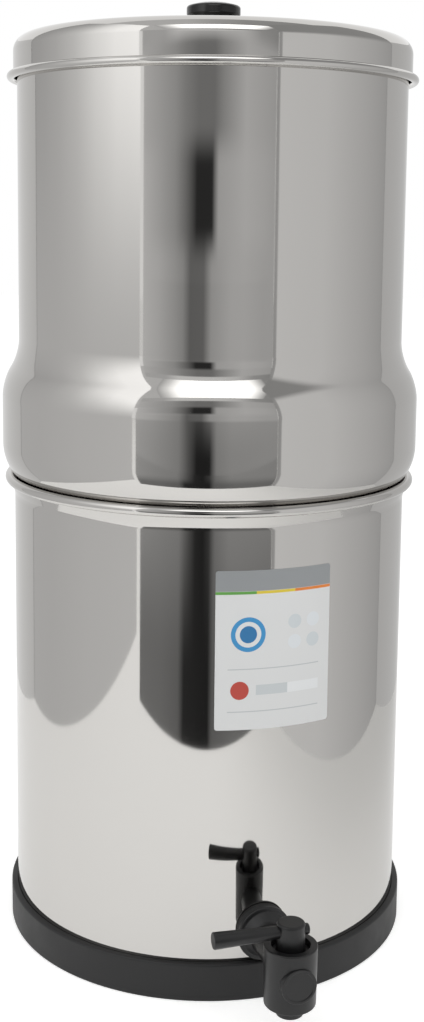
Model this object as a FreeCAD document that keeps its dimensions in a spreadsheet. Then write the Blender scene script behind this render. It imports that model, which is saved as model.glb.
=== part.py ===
import FreeCAD
import Part
import Sketcher
import math
import os

from FreeCAD import Vector

# Gravity water filter with a tap, in millimetres.
# The origin is the middle of the foot, +Z is up and the tap faces -Y.

doc = FreeCAD.newDocument("gravity_water_filter")

# Driving dimensions
SIZES = [
    # steel sheet and the gap left where one vessel rests in another
    ("steel_wall", 0.8),
    ("seat_gap", 0.3),
    # how far a cutter runs past what it cuts, and how far a piece's stock starts inside a wall
    ("overshoot", 1.0),
    ("stock_sink", 2.0),
    # rubber foot ring
    ("ring_stand_out", 3.3),
    ("ring_height", 19.25),
    ("ring_lip_thickness", 2.5),
    ("ring_lip_width", 13.0),
    ("ring_edge_radius", 1.2),
    # lower chamber
    ("lower_radius", 104.0),
    ("lower_height", 241.1),
    ("lower_corner_radius", 8.0),
    ("lower_rim_radius", 2.5),
    ("lower_flare_height", 8.0),
    # label
    ("label_width", 59.2),
    ("label_height", 78.2),
    ("label_bottom", 137.0),
    ("label_thickness", 0.15),
    ("label_glue", 0.03),
    ("label_corner_radius", 2.0),
    ("label_turn", 2.3),
    # tap
    ("tap_height", 33.8),
    ("tap_reach", 41.0),
    ("tap_washer_radius", 13.2),
    ("tap_washer_thickness", 2.0),
    ("flange_radius", 13.6),
    ("flange_thickness", 2.0),
    ("flange_edge_radius", 0.8),
    ("hub_radius", 11.5),
    ("hub_length", 4.5),
    ("neck_radius", 8.0),
    ("neck_root_radius", 3.0),
    ("shank_radius", 8.0),
    ("shank_bore_radius", 4.6),
    ("shank_hole_gap", 0.3),
    ("shank_end", 3.0),
    ("back_nut_sides", 6),
    ("back_nut_across_flats", 24.0),
    ("back_nut_thickness", 6.0),
    ("thread_gap", 0.1),
    ("barrel_radius_top", 12.65),
    ("barrel_radius_bottom", 12.2),
    ("barrel_above", 14.4),
    ("barrel_below", 14.4),
    ("barrel_floor", 2.2),
    ("barrel_edge_radius", 0.6),
    ("pad_radius", 8.4),
    ("pad_stand_out", 0.55),
    # key and lever of the tap
    ("plug_radius_top", 9.1),
    ("plug_radius_bottom", 8.4),
    ("plug_recess", 3.0),
    ("plug_gap", 0.06),
    ("spout_radius", 6.5),
    ("spout_bore_radius", 4.9),
    ("spout_bore_cone", 2.0),
    ("spout_length", 5.4),
    ("snap_height", 0.8),
    ("snap_width", 0.35),
    ("snap_gap", 0.3),
    ("port_radius", 4.4),
    ("key_head_radius", 6.65),
    ("key_head_height", 13.8),
    ("key_head_edge", 1.2),
    ("lever_height", 20.8),
    ("lever_long_side", 37.5),
    ("lever_short_side", 8.7),
    ("lever_radius_long", 3.9),
    ("lever_radius_short", 2.5),
    ("lever_edge", 0.6),
    ("lever_fit", 0.02),
    # upper chamber
    ("bulge_stand_out", 6.2),
    ("neck_set_back", 8.8),
    ("upper_height", 230.4),
    ("upper_corner_radius", 26.5),
    ("step_low", 58.9),
    ("step_high", 73.1),
    ("step_bend_radius", 27.0),
    ("upper_rim_radius", 2.2),
    # lid
    ("lid_clearance", 1.9),
    ("lid_corner_radius", 7.7),
    ("lid_depth", 20.2),
    ("lid_rim_radius", 2.05),
    ("lid_crown", 1.2),
    ("lid_flat_radius", 50.0),
    ("lid_crown_bend", 1500.0),
    # knob on the lid
    ("knob_radius", 14.0),
    ("knob_neck_radius", 8.9),
    ("knob_height", 18.5),
    ("knob_waist_height", 3.7),
    ("knob_waist_bend", 5.0),
    ("knob_flare_height", 12.2),
    ("knob_dome_height", 2.2),
    ("knob_crown_radius", 7.0),
    ("knob_crown_bend", 36.0),
    ("knob_edge_radius", 1.4),
    ("knob_screw_radius", 2.0),
    ("knob_screw_depth", 9.0),
    ("knob_hole_extra", 0.5),
    ("screw_hole_gap", 0.2),
    ("screw_head_radius", 3.9),
    ("screw_head_height", 2.6),
    ("screw_head_edge", 1.0),
    ("knob_washer_radius", 6.0),
    ("knob_washer_thickness", 1.0),
    # filter candles
    ("candle_count", 4),
    ("candle_circle_radius", 54.0),
    ("candle_start_angle", 45.0),
    ("candle_radius", 25.0),
    ("candle_height", 168.0),
    ("candle_wall", 7.5),
    ("candle_dome_share", 0.9),
    ("core_gap", 0.2),
    ("mount_wall", 1.2),
    ("mount_floor", 4.0),
    ("mount_cup_depth", 8.0),
    ("mount_boss_radius", 13.0),
    ("mount_boss_height", 3.0),
    ("mount_edge_radius", 1.0),
    ("stem_radius", 6.0),
    ("stem_bore_radius", 2.4),
    ("stem_length", 26.0),
    ("stem_hole_gap", 0.3),
    ("candle_washer_radius", 14.0),
    ("candle_washer_thickness", 2.0),
    ("wing_nut_radius", 9.5),
    ("wing_nut_height", 8.0),
    ("wing_span", 36.0),
    ("wing_height", 11.0),
    ("wing_thickness", 3.0),
    ("wing_corner_radius", 4.0),
]

sheet = doc.addObject("Spreadsheet::Sheet", "Sizes")
for row, (alias, value) in enumerate(SIZES, start=1):
    sheet.set(f"A{row}", alias)
    sheet.set(f"B{row}", str(value))
    sheet.setAlias(f"B{row}", alias)
doc.recompute()


class Dim:
    # A size with its number and the sheet expression that gives it.
    def __init__(self, value, text):
        self.value = value
        self.text = text

    def __add__(self, other):
        other = dim(other)
        return Dim(self.value + other.value, f"({self.text} + {other.text})")

    def __sub__(self, other):
        other = dim(other)
        return Dim(self.value - other.value, f"({self.text} - {other.text})")

    def __mul__(self, other):
        other = dim(other)
        return Dim(self.value * other.value, f"({self.text} * {other.text})")

    def __truediv__(self, other):
        other = dim(other)
        return Dim(self.value / other.value, f"({self.text} / {other.text})")

    def __neg__(self):
        return Dim(-self.value, f"(-1 * {self.text})")


def dim(size):
    # Takes a Dim, an alias of the sheet or a plain number.
    if isinstance(size, Dim):
        return size
    if isinstance(size, str):
        return Dim(float(sheet.get(size)), f"Sizes.{size}")
    return Dim(float(size), repr(float(size)))


def root(size):
    return Dim(math.sqrt(size.value), f"sqrt({size.text})")


def half_turn_tangent(across, along):
    # tan of half the angle whose tangent is across / along
    ratio = across / along
    return Dim(math.tan(math.atan(ratio.value) / 2), f"tan(atan({ratio.text}) / 2)")


def cosine(angle):
    return Dim(math.cos(math.radians(angle.value)), f"cos({angle.text})")


def sine(angle):
    return Dim(math.sin(math.radians(angle.value)), f"sin({angle.text})")


def hypotenuse_leg(hypotenuse, leg):
    return root(hypotenuse * hypotenuse - leg * leg)


ZERO = dim(0)
FULL_TURN = dim(360)


# Bodies, sketches and features

def new_body(label, x=ZERO, y=ZERO, z=ZERO, turn=ZERO):
    body = doc.addObject("PartDesign::Body", label)
    body.Label = label
    for axis, size in (("x", x), ("y", y), ("z", z)):
        if size is not ZERO:
            body.setExpression(f"Placement.Base.{axis}", size.text)
    if turn is not ZERO:
        body.Placement.Rotation = FreeCAD.Rotation(Vector(0, 0, 1), turn.value)
        body.setExpression("Placement.Rotation.Angle", turn.text)
    return body


def new_sketch(body, role, name, offset=ZERO):
    plane = [item for item in body.Origin.OriginFeatures if item.Role == role][0]
    sketch = body.newObject("Sketcher::SketchObject", name)
    sketch.AttachmentSupport = (plane, "")
    sketch.MapMode = "FlatFace"
    if offset is not ZERO:
        sketch.setExpression("AttachmentOffset.Base.z", offset.text)
    return sketch


def bind(sketch, kind, items, size):
    # Adds a constraint whose value comes from the sheet.
    index = sketch.addConstraint(Sketcher.Constraint(kind, *items, size.value))
    sketch.setExpression(f"Constraints[{index}]", size.text)


def place(sketch, geometry, point, x, y):
    bind(sketch, "DistanceX", (-1, 1, geometry, point), dim(x))
    bind(sketch, "DistanceY", (-1, 1, geometry, point), dim(y))


def add_circle(sketch, x, y, radius):
    radius = dim(radius)
    centre = Vector(dim(x).value, dim(y).value, 0)
    circle = sketch.addGeometry(Part.Circle(centre, Vector(0, 0, 1), radius.value), False)
    place(sketch, circle, 3, x, y)
    bind(sketch, "Radius", (circle,), radius)


def corner_trims(points, radii):
    # Where the straight run before and after each corner ends, and the centre of its rounding.
    trims = []
    count = len(points)
    for i, (point, radius) in enumerate(zip(points, radii)):
        if radius is None:
            trims.append((point, point, None))
            continue
        before = (points[i - 1] - point).normalize()
        after = (points[(i + 1) % count] - point).normalize()
        half = before.getAngle(after) / 2
        reach = radius.value / math.tan(half)
        middle = (before + after).normalize() * (radius.value / math.sin(half))
        trims.append((point + before * reach, point + after * reach, point + middle))
    return trims


def add_profile(sketch, corners):
    # A closed outline of straight runs. A corner is (x, y) or (x, y, rounding radius).
    places = [(dim(corner[0]), dim(corner[1])) for corner in corners]
    points = [Vector(x.value, y.value, 0) for x, y in places]
    radii = [dim(corner[2]) if len(corner) == 3 else None for corner in corners]
    trims = corner_trims(points, radii)
    count = len(corners)
    lines = []
    for i in range(count):
        run = Part.LineSegment(trims[i][1], trims[(i + 1) % count][0])
        lines.append(sketch.addGeometry(run, False))
    for i in range(count):
        before = lines[i - 1]
        after = lines[i]
        if radii[i] is None:
            sketch.addConstraint(Sketcher.Constraint("Coincident", before, 2, after, 1))
            place(sketch, after, 1, *places[i])
            continue
        start, end, centre = trims[i]
        turns_left = (start - centre).cross(end - centre).z > 0
        first, last = (start, end) if turns_left else (end, start)
        circle = Part.Circle(centre, Vector(0, 0, 1), radii[i].value)
        arc_curve = Part.ArcOfCircle(circle, circle.parameter(first), circle.parameter(last))
        arc = sketch.addGeometry(arc_curve, False)
        arc_start, arc_end = (1, 2) if turns_left else (2, 1)
        corner = sketch.addGeometry(Part.Point(points[i]), True)
        place(sketch, corner, 1, *places[i])
        sketch.addConstraint(Sketcher.Constraint("PointOnObject", corner, 1, before))
        sketch.addConstraint(Sketcher.Constraint("PointOnObject", corner, 1, after))
        sketch.addConstraint(Sketcher.Constraint("Tangent", before, 2, arc, arc_start))
        sketch.addConstraint(Sketcher.Constraint("Tangent", arc, arc_end, after, 1))
        bind(sketch, "Radius", (arc,), radii[i])


def revolve(body, name, corners, role="XZ_Plane", axis="V_Axis", cut=False):
    # Turns an outline about one of its sketch's axes, as a solid or as a cut.
    sketch = new_sketch(body, role, f"{name}_sketch")
    add_profile(sketch, corners)
    return turn_sketch(body, name, sketch, axis, cut)


def revolve_circle(body, name, x, y, radius):
    sketch = new_sketch(body, "XZ_Plane", f"{name}_sketch")
    add_circle(sketch, x, y, radius)
    return turn_sketch(body, name, sketch, "V_Axis", False)


def turn_sketch(body, name, sketch, axis, cut):
    kind = "PartDesign::Groove" if cut else "PartDesign::Revolution"
    feature = body.newObject(kind, name)
    feature.Profile = sketch
    feature.ReferenceAxis = (sketch, [axis])
    feature.Angle = 360
    return feature


def pad(body, name, sketch, length, reverse=False, midplane=False):
    feature = body.newObject("PartDesign::Pad", name)
    feature.Profile = sketch
    feature.setExpression("Length", dim(length).text)
    feature.Reversed = reverse
    feature.Midplane = midplane
    return feature


def cut(body, name, sketch, length, reverse=False, midplane=False):
    # A pocket that has to take something away.
    doc.recompute()
    before = body.Shape.Volume
    feature = body.newObject("PartDesign::Pocket", name)
    feature.Profile = sketch
    feature.setExpression("Length", dim(length).text)
    feature.Reversed = reverse
    feature.Midplane = midplane
    doc.recompute()
    if body.Shape.Volume >= before:
        raise ValueError(f"{name} cuts nothing")
    return feature


# Places worked out from the sizes

wall = dim("steel_wall")
lower_radius = dim("lower_radius")
lower_inner_radius = lower_radius - wall
lower_floor = dim("ring_lip_thickness")
lower_rim_height = lower_floor + "lower_height"
lower_rim_circle = lower_radius + "lower_rim_radius"
overshoot = dim("overshoot")

# The rounded bottom of the upper chamber rests on the lower rim, seat_gap clear of it.
upper_corner = dim("upper_corner_radius")
bulge_radius = lower_radius + "bulge_stand_out"
upper_radius = bulge_radius - "neck_set_back"
seat_reach = upper_corner + "lower_rim_radius" + "seat_gap"
seat_rise = hypotenuse_leg(seat_reach, lower_rim_circle - (bulge_radius - upper_corner))
upper_bottom = lower_rim_height + seat_rise - upper_corner

# The lid's rounded shoulder rests on the upper rim in the same way.
upper_rim_height = dim("upper_height")
upper_rim_circle = upper_radius - "upper_rim_radius"
lid_radius = upper_radius + "lid_clearance"
lid_corner = dim("lid_corner_radius")
lid_reach = lid_corner - wall - "upper_rim_radius" - "seat_gap"
lid_rise = hypotenuse_leg(lid_reach, upper_rim_circle - (lid_radius - lid_corner))
lid_top = upper_bottom + upper_rim_height - lid_rise + lid_corner
knob_seat = lid_top + "lid_crown"

tap_axis_height = dim("tap_height")
tap_axis_y = -(lower_radius + "tap_reach")


# Foot ring

def make_base_ring():
    body = new_body("base_ring")
    lip_inner = lower_radius - "ring_lip_width"
    outer = lower_radius + "ring_stand_out"
    top = dim("ring_height")
    revolve(body, "ring", [
        (lip_inner, 0),
        (outer, 0, "ring_edge_radius"),
        (outer, top, "ring_edge_radius"),
        (lower_radius, top),
        (lower_radius, lower_floor, "lower_corner_radius"),
        (lip_inner, lower_floor),
    ])


# Lower chamber

def make_lower_chamber():
    body = new_body("lower_chamber")
    corner = dim("lower_corner_radius")
    flare_start = lower_rim_height - "lower_flare_height"
    revolve(body, "vessel", [
        (0, lower_floor),
        (lower_radius, lower_floor, corner),
        (lower_radius, flare_start),
        (lower_rim_circle + wall / 2, lower_rim_height),
        (lower_rim_circle - wall / 2, lower_rim_height),
        (lower_inner_radius, flare_start),
        (lower_inner_radius, lower_floor + wall, corner - wall),
        (0, lower_floor + wall),
    ])
    revolve_circle(body, "rolled_rim", lower_rim_circle, lower_rim_height, "lower_rim_radius")
    hole = new_sketch(body, "XZ_Plane", "tap_hole_sketch")
    add_circle(hole, 0, tap_axis_height, dim("shank_radius") + "shank_hole_gap")
    cut(body, "tap_hole", hole, lower_rim_circle, reverse=True)


# Anything that lies on the wall is padded forwards, then cut to the wall's curve.

def follow_wall(body, inner, outer):
    height = lower_rim_height * 2
    if inner is not None:
        inside = new_sketch(body, "XY_Plane", "inside_sketch")
        add_circle(inside, 0, 0, inner)
        cut(body, "inside_cut", inside, height, midplane=True)
    if outer is not None:
        outside = new_sketch(body, "XY_Plane", "outside_sketch")
        add_circle(outside, 0, 0, outer)
        add_circle(outside, 0, 0, outer * 2)
        cut(body, "outside_cut", outside, height, midplane=True)


def make_label():
    body = new_body("label", turn=dim("label_turn"))
    angle = dim("label_width") / 2 / lower_radius * math.degrees(1)
    reach = lower_radius * sine(angle)
    low = dim("label_bottom")
    high = low + "label_height"
    corner = "label_corner_radius"
    back = lower_radius * cosine(angle) - "stock_sink"
    glued = lower_radius + "label_glue"
    front = glued + "label_thickness"
    face = new_sketch(body, "XZ_Plane", "label_sketch", offset=back)
    add_profile(face, [(-reach, low, corner), (reach, low, corner),
                       (reach, high, corner), (-reach, high, corner)])
    pad(body, "sticker", face, front + overshoot - back)
    follow_wall(body, glued, front)


# Tap

def make_tap_outer_washer():
    body = new_body("tap_outer_washer")
    front = lower_radius + "tap_washer_thickness"
    back = lower_radius - "stock_sink"
    ring = new_sketch(body, "XZ_Plane", "washer_sketch", offset=back)
    add_circle(ring, 0, tap_axis_height, "tap_washer_radius")
    add_circle(ring, 0, tap_axis_height, dim("shank_radius") + "shank_hole_gap")
    pad(body, "washer", ring, front - back)
    follow_wall(body, lower_radius, None)


def make_tap_inner_washer():
    body = new_body("tap_inner_washer")
    back = lower_inner_radius - "tap_washer_thickness"
    ring = new_sketch(body, "XZ_Plane", "washer_sketch", offset=back)
    add_circle(ring, 0, tap_axis_height, "tap_washer_radius")
    add_circle(ring, 0, tap_axis_height, dim("shank_radius") + "shank_hole_gap")
    pad(body, "washer", ring, lower_radius - back)
    follow_wall(body, None, lower_inner_radius)


def make_tap_back_nut():
    body = new_body("tap_back_nut")
    front = lower_inner_radius - "tap_washer_thickness"
    thickness = dim("back_nut_thickness")
    side_angle = FULL_TURN / "back_nut_sides"
    corner_reach = dim("back_nut_across_flats") / 2 / cosine(side_angle / 2)
    face = new_sketch(body, "XZ_Plane", "nut_sketch", offset=front - thickness)
    corners = []
    for step in range(round(dim("back_nut_sides").value)):
        angle = side_angle * step
        corners.append((corner_reach * cosine(angle), tap_axis_height + corner_reach * sine(angle)))
    add_profile(face, corners)
    pad(body, "nut", face, thickness)
    bore = new_sketch(body, "XZ_Plane", "bore_sketch", offset=front - thickness)
    add_circle(bore, 0, tap_axis_height, dim("shank_radius") + "thread_gap")
    cut(body, "thread_bore", bore, thickness, reverse=True)


def make_tap_body():
    # The barrel's axis is this body's Z and the shank's axis its Y.
    body = new_body("tap_body", y=tap_axis_y, z=tap_axis_height)
    above = dim("barrel_above")
    below = -dim("barrel_below")
    floor_top = below + "barrel_floor"
    edge = "barrel_edge_radius"
    flange_back = dim("tap_reach") - "tap_washer_thickness"
    flange_front = flange_back - "flange_thickness"
    hub_front = flange_front - "hub_length"
    shank_inner_end = (dim("tap_reach") + wall + "tap_washer_thickness" + "back_nut_thickness"
                       + "shank_end")
    revolve(body, "barrel", [
        (0, below),
        ("barrel_radius_bottom", below, edge),
        ("barrel_radius_top", above, edge),
        (0, above),
    ])
    revolve(body, "shank", [
        (0, 0),
        (shank_inner_end, 0),
        (shank_inner_end, "shank_radius"),
        (flange_back, "shank_radius"),
        (flange_back, "flange_radius"),
        (flange_front, "flange_radius", "flange_edge_radius"),
        (flange_front, "hub_radius"),
        (hub_front, "neck_radius", "neck_root_radius"),
        (0, "neck_radius"),
    ], role="YZ_Plane", axis="H_Axis")
    disc = new_sketch(body, "XZ_Plane", "pad_sketch")
    add_circle(disc, 0, 0, "pad_radius")
    pad(body, "front_pad", disc, dim("barrel_radius_top") + "pad_stand_out")
    revolve(body, "plug_bore", [
        (0, floor_top),
        (dim("plug_radius_bottom") + "plug_gap", floor_top),
        (dim("plug_radius_top") + "plug_gap", above - "plug_recess"),
        (dim("plug_radius_top") + "plug_gap", above + overshoot),
        (0, above + overshoot),
    ], cut=True)
    revolve(body, "spout_hole", [
        (0, below - overshoot),
        (dim("spout_radius") + "plug_gap", below - overshoot),
        (dim("spout_radius") + "plug_gap", floor_top + overshoot),
        (0, floor_top + overshoot),
    ], cut=True)
    bore = new_sketch(body, "XZ_Plane", "shank_bore_sketch")
    add_circle(bore, 0, 0, "shank_bore_radius")
    cut(body, "shank_bore", bore, shank_inner_end + overshoot)


def make_tap_key():
    # The plug turns on Z and the lever's axis is this body's X.
    lever_height = dim("lever_height")
    body = new_body("tap_key", y=tap_axis_y, z=tap_axis_height + lever_height)
    shoulder = dim("barrel_above") - "plug_recess" - lever_height
    floor_top = -dim("barrel_below") + "barrel_floor" - lever_height + "plug_gap"
    barrel_end = -dim("barrel_below") - lever_height
    spout_end = barrel_end - "spout_length"
    snap_top = barrel_end - "snap_gap"
    snap_radius = dim("spout_radius") + "snap_width"
    head_top = shoulder + "key_head_height"
    revolve(body, "plug", [
        (0, spout_end),
        ("spout_radius", spout_end),
        ("spout_radius", snap_top - dim("snap_height") * 2),
        (snap_radius, snap_top - "snap_height"),
        (snap_radius, snap_top),
        ("spout_radius", snap_top),
        ("spout_radius", floor_top),
        ("plug_radius_bottom", floor_top),
        ("plug_radius_top", shoulder),
        ("key_head_radius", shoulder),
        ("key_head_radius", head_top, "key_head_edge"),
        (0, head_top),
    ])
    port_height = -lever_height
    bore_top = port_height + "port_radius" + "spout_bore_cone"
    revolve(body, "spout_bore", [
        (0, spout_end - overshoot),
        ("spout_bore_radius", spout_end - overshoot),
        ("spout_bore_radius", bore_top),
        (0, bore_top + "spout_bore_cone"),
    ], cut=True)
    port = new_sketch(body, "YZ_Plane", "port_sketch")
    add_circle(port, 0, port_height, "port_radius")
    cut(body, "port", port, overshoot + "plug_radius_top", reverse=True)
    revolve(body, "lever_hole", lever_outline(dim("lever_fit"), overshoot, rounded=False),
            axis="H_Axis", cut=True)


def lever_radius_at(x):
    # The lever tapers evenly from its long end to its short end.
    taper = dim("lever_radius_long") - "lever_radius_short"
    length = dim("lever_long_side") + "lever_short_side"
    return dim("lever_radius_short") + taper * (dim("lever_short_side") - x) / length


def lever_outline(gap, beyond, rounded):
    # Half of the lever's section, widened by gap and carried beyond its ends.
    long_end = -(dim("lever_long_side") + beyond)
    short_end = dim("lever_short_side") + beyond
    long_radius = lever_radius_at(long_end) + gap
    short_radius = lever_radius_at(short_end) + gap
    if rounded:
        return [(long_end, 0), (short_end, 0), (short_end, short_radius, "lever_edge"),
                (long_end, long_radius, "lever_edge")]
    return [(long_end, 0), (short_end, 0), (short_end, short_radius), (long_end, long_radius)]


def make_tap_lever():
    body = new_body("tap_lever", y=tap_axis_y, z=tap_axis_height + "lever_height")
    revolve(body, "bar", lever_outline(ZERO, ZERO, rounded=True), axis="H_Axis")


# Upper chamber

def make_upper_chamber():
    body = new_body("upper_chamber", z=upper_bottom)
    bulge = bulge_radius
    neck = upper_radius
    low = dim("step_low")
    high = dim("step_high")
    bend = dim("step_bend_radius")
    drop = wall * half_turn_tangent(bulge - neck, high - low)
    rim_height = upper_rim_height
    revolve(body, "vessel", [
        (0, 0),
        (bulge, 0, upper_corner),
        (bulge, low, bend),
        (neck, high, bend),
        (neck, rim_height),
        (neck - wall, rim_height),
        (neck - wall, high - drop, bend + wall),
        (bulge - wall, low - drop, bend - wall),
        (bulge - wall, wall, upper_corner - wall),
        (0, wall),
    ])
    revolve_circle(body, "rolled_rim", upper_rim_circle, rim_height, "upper_rim_radius")
    hole = new_sketch(body, "XY_Plane", "stem_hole_sketch")
    circle = dim("candle_circle_radius")
    angle = dim("candle_start_angle")
    add_circle(hole, circle * cosine(angle), circle * sine(angle),
               dim("stem_radius") + "stem_hole_gap")
    stem_hole = cut(body, "stem_hole", hole, wall * 4, midplane=True)
    holes = body.newObject("PartDesign::PolarPattern", "stem_holes")
    holes.Originals = [stem_hole]
    holes.Axis = (hole, ["N_Axis"])
    holes.Angle = 360
    holes.setExpression("Occurrences", "Sizes.candle_count")
    body.Tip = holes


# Filter candles, in the upper chamber's own height

washer_top = wall + "candle_washer_thickness"
cup_floor_bottom = washer_top + "mount_boss_height"
cup_floor_top = cup_floor_bottom + "mount_floor"
shell_top = cup_floor_top + "candle_height"


def candle_body(label, number, height):
    # A body on the stem's axis of one candle.
    circle = dim("candle_circle_radius")
    angle = dim("candle_start_angle") + FULL_TURN / "candle_count" * number
    return new_body(f"{label}_{number + 1}", x=circle * cosine(angle), y=circle * sine(angle),
                    z=upper_bottom + height, turn=angle)


def make_candle(number):
    radius = dim("candle_radius")
    candle_wall = dim("candle_wall")
    inner = radius - candle_wall
    body = candle_body("candle_shell", number, cup_floor_top)
    top = dim("candle_height")
    revolve(body, "shell", [
        (inner, 0),
        (radius, 0),
        (radius, top, radius * "candle_dome_share"),
        (0, top),
        (0, top - candle_wall),
        (inner, top - candle_wall, inner * "candle_dome_share"),
    ])

    body = candle_body("candle_core", number, cup_floor_top)
    core = inner - "core_gap"
    core_top = top - candle_wall - "core_gap"
    revolve(body, "core", [
        (0, 0),
        (core, 0),
        (core, core_top, core * "candle_dome_share"),
        (0, core_top),
    ])

    body = candle_body("candle_mount", number, washer_top)
    boss = dim("mount_boss_height")
    floor_top = boss + "mount_floor"
    cup_top = floor_top + "mount_cup_depth"
    outer = radius + "mount_wall" + "core_gap"
    revolve(body, "mount", [
        ("stem_bore_radius", -dim("stem_length")),
        ("stem_radius", -dim("stem_length")),
        ("stem_radius", 0),
        ("mount_boss_radius", 0),
        ("mount_boss_radius", boss),
        (outer, boss, "mount_edge_radius"),
        (outer, cup_top),
        (outer - "mount_wall", cup_top),
        (outer - "mount_wall", floor_top),
        ("stem_bore_radius", floor_top),
    ])

    body = candle_body("candle_washer", number, wall)
    bore = dim("stem_radius") + "thread_gap"
    revolve(body, "washer", [
        (bore, 0),
        ("candle_washer_radius", 0),
        ("candle_washer_radius", "candle_washer_thickness"),
        (bore, "candle_washer_thickness"),
    ])

    body = candle_body("candle_nut", number, ZERO)
    height = dim("wing_nut_height")
    half_span = dim("wing_span") / 2
    wing_low = -(height / 2 + "wing_height")
    wing_top = -dim("stock_sink")
    wings = new_sketch(body, "XZ_Plane", "wing_sketch")
    add_profile(wings, [
        (-half_span, wing_top),
        (half_span, wing_top),
        (half_span, wing_low, "wing_corner_radius"),
        (-half_span, wing_low, "wing_corner_radius"),
    ])
    pad(body, "wings", wings, "wing_thickness", midplane=True)
    revolve(body, "hub", [
        (bore, 0),
        ("wing_nut_radius", 0),
        ("wing_nut_radius", -height),
        (bore, -height),
    ])
    revolve(body, "between_wings", [
        (0, overshoot),
        (bore, overshoot),
        (bore, -height),
        ("wing_nut_radius", -height),
        ("wing_nut_radius", wing_low - overshoot),
        (0, wing_low - overshoot),
    ], cut=True)


# Lid and knob

def make_lid():
    body = new_body("lid", z=lid_top)
    outer = lid_radius
    crown = dim("lid_crown")
    bend = dim("lid_crown_bend")
    edge = -dim("lid_depth")
    hole = dim("knob_screw_radius") + "screw_hole_gap"
    revolve(body, "pressing", [
        (hole, crown),
        ("lid_flat_radius", crown, bend),
        (outer, 0, lid_corner),
        (outer, edge),
        (outer - wall, edge),
        (outer - wall, -wall, lid_corner - wall),
        ("lid_flat_radius", crown - wall, bend - wall),
        (hole, crown - wall),
    ])
    revolve_circle(body, "rolled_edge", outer - wall + "lid_rim_radius", edge, "lid_rim_radius")


def make_knob():
    body = new_body("knob", z=knob_seat)
    height = dim("knob_height")
    edge = "knob_edge_radius"
    screw_hole = dim("knob_screw_radius") + "thread_gap"
    revolve(body, "knob_form", [
        (0, 0),
        ("knob_neck_radius", 0),
        ("knob_neck_radius", "knob_waist_height", "knob_waist_bend"),
        ("knob_radius", "knob_flare_height", edge),
        ("knob_radius", height - "knob_dome_height", edge),
        ("knob_crown_radius", height, "knob_crown_bend"),
        (0, height),
    ])
    hole_top = dim("knob_screw_depth") + "knob_hole_extra"
    revolve(body, "screw_bore", [
        (0, -overshoot),
        (screw_hole, -overshoot),
        (screw_hole, hole_top),
        (0, hole_top),
    ], cut=True)


def make_knob_washer():
    body = new_body("knob_washer", z=knob_seat - wall)
    revolve(body, "washer", [
        (dim("knob_screw_radius") + "thread_gap", -dim("knob_washer_thickness")),
        ("knob_washer_radius", -dim("knob_washer_thickness")),
        ("knob_washer_radius", 0),
        (dim("knob_screw_radius") + "thread_gap", 0),
    ])


def make_knob_screw():
    body = new_body("knob_screw", z=knob_seat)
    head_top = -(wall + "knob_washer_thickness")
    revolve(body, "screw", [
        (0, head_top - "screw_head_height"),
        ("screw_head_radius", head_top - "screw_head_height", "screw_head_edge"),
        ("screw_head_radius", head_top),
        ("knob_screw_radius", head_top),
        ("knob_screw_radius", "knob_screw_depth"),
        (0, "knob_screw_depth"),
    ])


make_base_ring()
make_lower_chamber()
make_label()
make_tap_outer_washer()
make_tap_body()
make_tap_inner_washer()
make_tap_back_nut()
make_tap_key()
make_tap_lever()
make_upper_chamber()
for number in range(round(dim("candle_count").value)):
    make_candle(number)
make_lid()
make_knob()
make_knob_washer()
make_knob_screw()
doc.recompute()

# Check, then write each piece.
for item in doc.Objects:
    if "Invalid" in item.State or "Error" in item.State:
        raise ValueError(f"{item.Label} failed: {item.State}")

bodies = [item for item in doc.Objects if item.TypeId == "PartDesign::Body"]
for body in bodies:
    if body.Shape.isNull() or not body.Shape.isValid():
        raise ValueError(f"{body.Label} has no valid shape")

os.makedirs("parts", exist_ok=True)
for body in bodies:
    body.Shape.exportStep(f"parts/{body.Label}.step")
    print(body.Label, len(body.Shape.Solids), round(body.Shape.Volume, 1))
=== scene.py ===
import math
import bmesh
import bpy
from mathutils import Matrix, Vector


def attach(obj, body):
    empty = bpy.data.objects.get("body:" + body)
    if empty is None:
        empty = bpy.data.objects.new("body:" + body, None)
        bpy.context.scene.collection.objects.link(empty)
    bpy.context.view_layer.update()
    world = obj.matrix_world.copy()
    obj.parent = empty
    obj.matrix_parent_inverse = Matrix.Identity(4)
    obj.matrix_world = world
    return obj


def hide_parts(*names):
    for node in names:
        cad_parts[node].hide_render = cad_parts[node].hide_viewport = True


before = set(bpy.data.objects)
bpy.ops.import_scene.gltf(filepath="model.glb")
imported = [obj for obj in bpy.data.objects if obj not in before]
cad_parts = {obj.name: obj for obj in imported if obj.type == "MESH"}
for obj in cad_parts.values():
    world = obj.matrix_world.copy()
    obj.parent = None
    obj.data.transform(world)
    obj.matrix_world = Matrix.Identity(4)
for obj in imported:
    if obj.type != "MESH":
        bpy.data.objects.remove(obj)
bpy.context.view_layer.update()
print("frame loaded:", len(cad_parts), "nodes")

mm = 0.001
up = Vector((0, 0, 1))
mergeGap = 1e-6      # metres, points nearer than this are one
edgeTurn = 5         # degrees of a rounded corner that one face takes
flatWeight = 90      # how strongly flat faces keep their own normal
fineEdge = 0.3       # mm, the small rounding of a moulded edge
sharpEdge = 0.2      # mm, the least rounding that still catches light


# small helpers that every piece uses

def sheetColour(code):
    # sRGB hex to linear
    channels = [int(code[i:i + 2], 16) / 255 for i in (0, 2, 4)]
    return (*[c / 12.92 if c <= 0.04045 else ((c + 0.055) / 1.055) ** 2.4 for c in channels], 1)


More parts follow.
